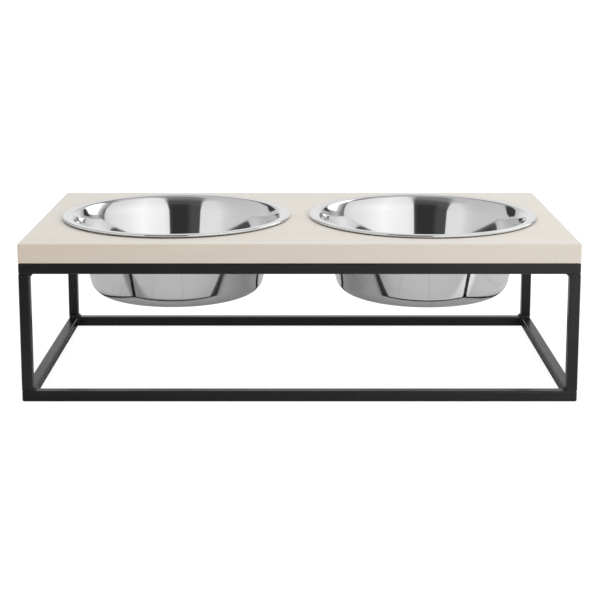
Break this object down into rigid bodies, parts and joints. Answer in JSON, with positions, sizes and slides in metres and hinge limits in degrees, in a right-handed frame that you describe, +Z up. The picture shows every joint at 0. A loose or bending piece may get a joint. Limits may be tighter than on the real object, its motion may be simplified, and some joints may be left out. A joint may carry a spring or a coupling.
{
  "type": "elevated pet feeder",
  "caption": "Elevated pet feeder: whitewashed wooden board with round cut-outs on an open black square-tube steel cage, holding lift-out stainless bowls.",
  "frame": {"origin": "on the floor, below the middle of the board", "axes": "+X along the board's length to the right as seen from the front, -Y is the front, +Z up"},
  "size_m": [0.51, 0.272, 0.1508],
  "materials": {
    "whitewashed_wood": "pale whitewashed matt sealed solid wood, straight fine grain along the length",
    "black_powder_coat": "satin black powder coat with a fine texture",
    "polished_stainless": "polished stainless steel with a faint circular spin finish",
    "plated_screw": "zinc-plated steel"
  },
  "bodies": {
    "stand": {"top_board": "whitewashed_wood", "front_top_rail": "black_powder_coat", "rear_top_rail": "black_powder_coat", "left_top_rail": "black_powder_coat", "right_top_rail": "black_powder_coat", "front_bottom_rail": "black_powder_coat", "rear_bottom_rail": "black_powder_coat", "left_bottom_rail": "black_powder_coat", "right_bottom_rail": "black_powder_coat", "front_left_leg": "black_powder_coat", "front_right_leg": "black_powder_coat", "rear_left_leg": "black_powder_coat", "rear_right_leg": "black_powder_coat", "front_left_tab": "black_powder_coat", "front_right_tab": "black_powder_coat", "rear_left_tab": "black_powder_coat", "rear_right_tab": "black_powder_coat", "upper_weld_beads": "black_powder_coat", "lower_weld_beads": "black_powder_coat", "tab_weld_beads": "black_powder_coat", "board_screws": "plated_screw"},
    "left_bowl": {"left_bowl": "polished_stainless"},
    "right_bowl": {"right_bowl": "polished_stainless"}
  },
  "joints": [
    {"name": "left_bowl_lift", "type": "slide", "parent": "stand", "child": "left_bowl", "axis": [0, 0, 1], "range_m": [0, 0.12]},
    {"name": "right_bowl_lift", "type": "slide", "parent": "stand", "child": "right_bowl", "axis": [0, 0, 1], "range_m": [0, 0.12]}
  ]
}
